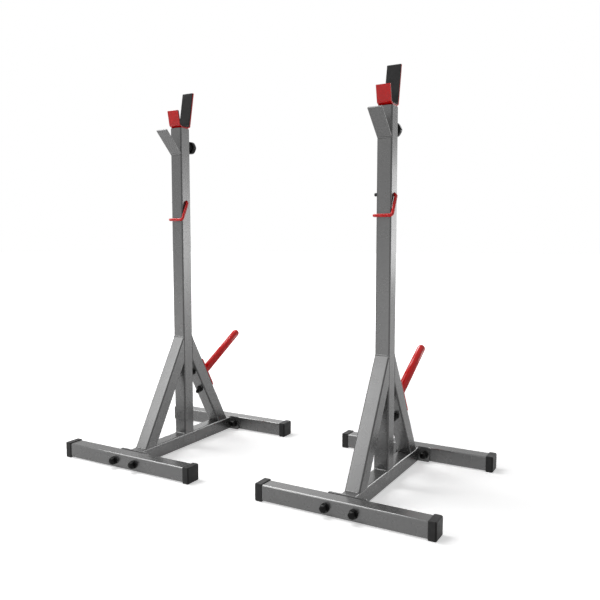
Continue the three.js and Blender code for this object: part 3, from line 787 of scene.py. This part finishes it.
def drill(stand, piece, heights):
    """Cuts round pin holes along X through a piece, at some heights."""
    ends = [Vector((-2 * HALF, 0, 0)), Vector((2 * HALF, 0, 0))]
    bits = [[end + Vector((0, 0, height)) for end in ends] for height in heights]
    drills = joined([swept(bit, HOLE_RADIUS, HOLE_SIDES) for bit in bits])
    bmesh.ops.recalc_face_normals(drills, faces=drills.faces)
    drills.transform(Matrix.Translation(stand.origin))
    data = bpy.data.meshes.new("drills")
    drills.to_mesh(data)
    drills.free()
    tool = bpy.data.objects.new("drills", data)
    bpy.context.scene.collection.objects.link(tool)
    cut = piece.modifiers.new("holes", "BOOLEAN")
    cut.operation = "DIFFERENCE"
    cut.solver = "EXACT"
    cut.object = tool
    bpy.context.view_layer.update()
    result = bpy.data.meshes.new_from_object(piece.evaluated_get(bpy.context.evaluated_depsgraph_get()))
    piece.modifiers.clear()
    piece.data = result
    bpy.data.objects.remove(tool)


def cup_line(stand):
    """The outer line of the cup's plate in Y and Z, from the top of its lip to the top of its back."""
    base = stand.post_top + CUP_SEAT
    floor = CUP_FLOOR / 2
    shoulder = Vector((floor + CUP_RUN, base + CUP_RISE))
    lip = Vector((-math.sin(CUP_LIP_LEAN), math.cos(CUP_LIP_LEAN))) * CUP_LIP
    back = Vector((math.sin(CUP_BACK_LEAN), math.cos(CUP_BACK_LEAN))) * CUP_BACK
    left = Vector((-shoulder.x, shoulder.y))
    return [left + lip, left, Vector((-floor, base)), Vector((floor, base)), shoulder, shoulder + back]


def bent_sheet(line, near, far, width, bend):
    """A plate of some width along X, between two distances beside a line that is bent in Y and Z."""
    outer = fillet(beside(line, near), max(bend - near, LINER_BEND))
    inner = fillet(beside(line, far), max(bend - far, LINER_BEND))
    outline = outer + inner[::-1]
    return loft([[Vector((x, p.x, p.y)) for p in outline] for x in (-width / 2, width / 2)])


def cup(stand):
    """The bent plate on the sliding post, and the rubber that lines it, a little short at both ends."""
    line = cup_line(stand)
    plate = bent_sheet(line, 0, CUP_PLATE, CUP_WIDTH, CUP_BEND)
    break_edges(stand.add("cup", plate, RED, "red_paint", "slider", node="cup"), CUP_EDGE, 3)
    line[0] += (line[1] - line[0]).normalized() * LINER_SHORT
    line[-1] += (line[-2] - line[-1]).normalized() * LINER_SHORT
    near = CUP_PLATE + SEAM
    sheet = bent_sheet(line, near, near + LINER, CUP_WIDTH - 2 * SEAM, CUP_BEND)
    liner = stand.add("cup_liner", sheet, RUBBER, "rubber", "slider", node="cup_liner")
    break_edges(liner, LINER_EDGE, 3)


# Pin and clamp


def lock_pin(stand):
    """The wire pin: through the post, down beside it, across its face, and back round its other side."""
    side = HALF + PIN_SIDE_GAP + PIN_RADIUS
    front = -HALF - PIN_FRONT_GAP - PIN_RADIUS
    corners = [
        Vector((-HALF - PIN_TIP, 0, 0)),
        Vector((side, 0, 0)),
        Vector((side, front, -PIN_DROP)),
        Vector((-side, front, -PIN_DROP)),
        Vector((-side, front + PIN_HOOK, -PIN_DROP)),
    ]
    path = fillet(corners, PIN_BEND, PIN_BEND_STEPS)
    first = (path[1] - path[0]).normalized()
    last = (path[-2] - path[-1]).normalized()
    start = [path[0] + first * distance for distance, share in PIN_TAPER]
    stop = [path[-1] + last * distance for distance, share in reversed(PIN_TAPER)]
    taper = [share for distance, share in PIN_TAPER]
    shares = taper + [1] * (len(path) - 2) + taper[::-1]
    wire = swept(start + path[1:-1] + stop, PIN_RADIUS, PIN_SIDES, shares)
    where = Matrix.Translation((0, 0, stand.pin_height))
    stand.add("lock_pin", wire, RED, "red_paint", "pin", where, node="lock_pin")
    # a dark steel tip over the wire's end
    dark_tip = turned([(PIN_RADIUS * share, along) for share, along in PIN_TIP_ROWS], PIN_TIP_SIDES)
    end = where @ Matrix.Translation(corners[0]) @ Matrix.Rotation(math.pi / 2, 4, "Y")
    stand.add("lock_pin_tip", dark_tip, DARK_STEEL, "zinc_steel", "pin", end)


def knob():
    """The knob along Z: a hub, a broad body with soft lobes, and a dished end."""
    rings = []
    for radius, depth, height in KNOB_ROWS:
        ring = []
        for i in range(KNOB_SIDES):
            turn = 2 * math.pi * i / KNOB_SIDES
            reach = (radius - depth * star(turn)) * MM
            ring.append(Vector((reach * math.cos(turn), reach * math.sin(turn), height * MM)))
        rings.append(ring)
    return loft(rings)


def clamp(stand):
    """Boss, threaded stud and star knob on the back of the post."""
    back = facing(Vector((0, HALF, stand.clamp_height)), (0, 1, 0))
    boss = turned(in_metres(BOSS_ROWS))
    stand.add("clamp_nut", boss, GREY, "grey_paint", where=back, node="clamp_nut", creased=True)
    stud = thread(STUD_RADIUS, STUD_LENGTH)
    stand.add("clamp_stud", stud, ZINC, "zinc_steel", "clamp_screw", back, "clamp_stud", creased=True)
    stand.add("clamp_knob", knob(), BLACK, "black_plastic", "clamp_handle", back, "clamp_knob")


# Storage peg


def storage_peg(stand):
    """The peg, and the covered bolts and cap nuts of its bracket, in the frame of the rear brace."""
    along = UPPER_PEG_BOLT - PEG_BOLT_PITCH / 2
    out = Matrix.Rotation(-math.pi / 2, 4, "X")  # Z to the brace's outer side
    seat = 2 * SEAM + BRACKET_THICK
    base = PEG_LENGTH - PEG_RADIUS
    peg = turned([(PEG_RADIUS, seat), (PEG_RADIUS, base)] + dome(PEG_RADIUS, base, PEG_STEPS))
    where = stand.heel @ Matrix.Translation((0, 0, along)) @ out
    stand.add("storage_peg", peg, RED, "red_paint", where=where, node="storage_peg")
    weld = bead(circle_path(PEG_RADIUS, PEG_RING_SIDES), REST_WELD, closed=True)
    stand.add("peg_weld", weld, RED, "red_paint", where=where @ Matrix.Translation((0, 0, seat)))

    inward = Matrix.Rotation(math.pi / 2, 4, "X") @ Matrix.Translation((0, 0, 2 * HALF + SEAM))
    outward = out @ Matrix.Translation((0, 0, seat))
    for name, place in (("lower", along - PEG_BOLT_PITCH / 2), ("upper", along + PEG_BOLT_PITCH / 2)):
        at = stand.heel @ Matrix.Translation((0, 0, place))
        node = name + "_peg_bolt"
        head = cover(PEG_COVER_RIM, PEG_COVER_BODY, PEG_COVER_HEIGHT)
        stand.add(node, head, BLACK, "black_plastic", where=at @ outward, node=node)
        node = name + "_peg_nut"
        nut = turned(in_metres(CAP_NUT_ROWS) + dome(CAP_NUT_DOME, CAP_NUT_SHOULDER, CAP_NUT_STEPS))
        stand.add(node, nut, BLACK, "black_plastic", where=at @ inward, node=node)


# Welds


chance = random.Random(7)  # gives the beads the same ripples each run


def circle_path(radius, count):
    """Points round a circle in X and Y."""
    turns = [2 * math.pi * i / count for i in range(count)]
    return [Vector((radius * math.cos(turn), radius * math.sin(turn), 0)) for turn in turns]


def bead(path, radius, closed=False):
    """A weld bead along a path: a rod with ripples, drawn in at its ends."""
    points = []
    ends = path + [path[0]] if closed else path
    for start, stop in zip(ends, ends[1:]):
        steps = max(round((stop - start).length / RIPPLE), 1)
        points += [start.lerp(stop, i / steps) for i in range(steps)]
    if not closed:
        points.append(path[-1])
    shares = []
    for i in range(len(points)):
        ripple = 1 + RIPPLE_DEPTH * (1 if i % 2 else -1) + chance.uniform(-RIPPLE_CHANCE, RIPPLE_CHANCE)
        to_end = 1 if closed else min(1, BEAD_END + BEAD_DRAW * min(i, len(points) - 1 - i))
        shares.append(ripple * to_end)
    return swept(points, radius, BEAD_SIDES, shares, closed)


def frame_welds(stand):
    """The beads that join the tubes, plates and boss of the grey frame."""
    top = stand.spine_top
    head = top + (BRACE_REACH - HALF) / math.tan(BRACE_LEAN)

    def across(y, z, radius, reach=WELD_REACH):
        return bead([Vector((-reach, y, z)), Vector((reach, y, z))], radius)

    beads = []
    for way in (-1, 1):
        for y, z, shift, radius in (
            (HALF, top, (0, 0), POST_WELD),
            (HALF, head, HEAD_WELD_SHIFT, POST_WELD),
            (HALF, head - BRACE_HEIGHT, UNDER_WELD_SHIFT, UNDER_WELD),
            (BRACE_REACH, top, HEEL_WELD_SHIFT, POST_WELD),
        ):
            beads.append(across(way * (y + shift[0]), z + shift[1], radius))
        for x in (SIDE_INSET - HALF, HALF - SIDE_INSET):
            under = Vector((x, way * (HALF + SEAM), head - BRACE_HEIGHT))
            beads.append(bead([under, under + Vector((0, 0, BRACE_HEIGHT))], SIDE_WELD))
            toe = Vector((x, way * (BRACE_REACH - BRACE_DEPTH), top - SEAM))
            beads.append(bead([toe, toe + Vector((0, way * BRACE_DEPTH, 0))], SIDE_WELD))
        ring = rounded_rectangle(FLANGE_RING, FLANGE_RING, TUBE_CORNER, FLANGE_RING_STEPS)
        place = Vector((0, way * (stand.spine_end + SEAM), top - HALF))
        beads.append(bead([place + Vector((p.x, 0, p.y)) for p in ring], SIDE_WELD, closed=True))
    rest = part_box(stand.side + "_lower_rest")[0].z
    out, up = REST_WELD_SHIFT
    beads.append(across(-HALF - SEAM, rest, SEAM_WELD, SEAM_REACH))
    beads.append(across(-HALF - out, rest + up, REST_WELD, REST_REACH))
    boss = facing(Vector((0, HALF, stand.clamp_height)), (0, 1, 0))
    ring = [boss @ point for point in circle_path(BOSS_RING, BOSS_RING_SIDES)]
    beads.append(bead(ring, SEAM_WELD, closed=True))
    stand.add("frame_welds", joined(beads), GREY, "grey_paint")


# The two stands


for side in STANDS:
    stand = Stand(side)
    for foot, carrier, height in FOOT_COVERS:
        for letter, direction in (("a", -1), ("b", 1)):
            foot_cap(stand, f"{foot}_cap_{letter}", direction)
            foot_bolt(stand, f"{foot}_bolt_{letter}", carrier, height)
    frame_tubes(stand)
    inner_post(stand)
    cup(stand)
    lock_pin(stand)
    clamp(stand)
    storage_peg(stand)
    frame_welds(stand)


# Stage


def make_camera():
    """The camera at the photograph's place and turn, which are measured from the posts."""
    camera = bpy.data.objects.new("camera", bpy.data.cameras.new("camera"))
    bpy.context.scene.collection.objects.link(camera)
    camera.data.lens = CAMERA_LENS
    camera.data.sensor_width = CAMERA_SENSOR
    right = Vector((math.cos(CAMERA_TURN), math.sin(CAMERA_TURN), 0))
    level = Vector((math.sin(CAMERA_TURN), -math.cos(CAMERA_TURN), 0))
    back = level * math.cos(CAMERA_DROP) + Vector((0, 0, math.sin(CAMERA_DROP)))
    up = back.cross(right)
    low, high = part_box("left_outer_post")
    place = CAMERA_PLACE + Vector((0, (low.y + high.y) / 2, 0))
    camera.matrix_world = Matrix.Translation(place) @ Matrix((right, up, back)).transposed().to_4x4()
    camera.data.clip_end = CAMERA_REACH
    bpy.context.scene.camera = camera


def lamp(name, place, aim, size, power, card):
    """A soft panel. A card shows only in gloss, as a reflector does."""
    light = bpy.data.lights.new(name, "AREA")
    light.shape = "RECTANGLE"
    light.size, light.size_y = size
    light.energy = power
    holder = bpy.data.objects.new(name, light)
    bpy.context.scene.collection.objects.link(holder)
    holder.matrix_world = facing(Vector(place), Vector(place) - Vector(aim))
    holder.visible_camera = False
    holder.visible_diffuse = not card


def shown_rays(nodes, links):
    """1 for a ray that shows the background: from the camera, off gloss or through a clear surface."""
    path = nodes.new("ShaderNodeLightPath")
    total = None
    for output in ("Is Camera Ray", "Is Glossy Ray", "Is Transmission Ray"):
        if total is None:
            total = path.outputs[output]
            continue
        add = nodes.new("ShaderNodeMath")
        add.operation = "MAXIMUM"
        links.new(total, add.inputs[0])
        links.new(path.outputs[output], add.inputs[1])
        total = add.outputs[0]
    return total


def make_world():
    """A dim white studio, which shows as plain white."""
    world = bpy.data.worlds.new("world")
    bpy.context.scene.world = world
    world.use_nodes = True
    nodes, links = world.node_tree.nodes, world.node_tree.links
    background = nodes["Background"]
    background.inputs["Color"].default_value = (1, 1, 1, 1)
    level = nodes.new("ShaderNodeMapRange")
    level.inputs["To Min"].default_value = WORLD_LEVEL
    level.inputs["To Max"].default_value = 1.0
    links.new(shown_rays(nodes, links), level.inputs["Value"])
    links.new(level.outputs["Result"], background.inputs["Strength"])


def make_floor():
    """A white floor: it takes the shadow near the stands and turns into plain white further out."""
    bpy.ops.mesh.primitive_plane_add(size=FLOOR_SIZE)
    floor = bpy.context.object
    floor.name = "floor"
    material = bpy.data.materials.new("floor")
    material.use_nodes = True
    nodes, links = material.node_tree.nodes, material.node_tree.links
    nodes.clear()
    matt = nodes.new("ShaderNodeBsdfDiffuse")
    matt.inputs["Color"].default_value = (FLOOR_TONE, FLOOR_TONE, FLOOR_TONE, 1)
    light = nodes.new("ShaderNodeEmission")
    light.inputs["Color"].default_value = (1, 1, 1, 1)
    place = nodes.new("ShaderNodeTexCoord")
    distance = nodes.new("ShaderNodeVectorMath")
    distance.operation = "LENGTH"
    links.new(place.outputs["Object"], distance.inputs[0])
    fade = nodes.new("ShaderNodeMapRange")
    fade.interpolation_type = "SMOOTHSTEP"
    fade.inputs["From Min"].default_value = FLOOR_NEAR
    fade.inputs["From Max"].default_value = FLOOR_FAR
    fade.inputs["To Min"].default_value = FLOOR_GLOW
    fade.inputs["To Max"].default_value = 1.0
    links.new(distance.outputs["Value"], fade.inputs["Value"])
    level = nodes.new("ShaderNodeMath")
    level.operation = "MULTIPLY"
    links.new(fade.outputs["Result"], level.inputs[1])
    links.new(shown_rays(nodes, links), level.inputs[0])
    links.new(level.outputs[0], light.inputs["Strength"])
    both = nodes.new("ShaderNodeAddShader")
    links.new(matt.outputs[0], both.inputs[0])
    links.new(light.outputs[0], both.inputs[1])
    output = nodes.new("ShaderNodeOutputMaterial")
    links.new(both.outputs[0], output.inputs["Surface"])
    floor.data.materials.append(material)


make_camera()
make_world()
make_floor()
for row in LAMPS:
    lamp(*row)

bpy.context.scene.view_settings.view_transform = "Standard"
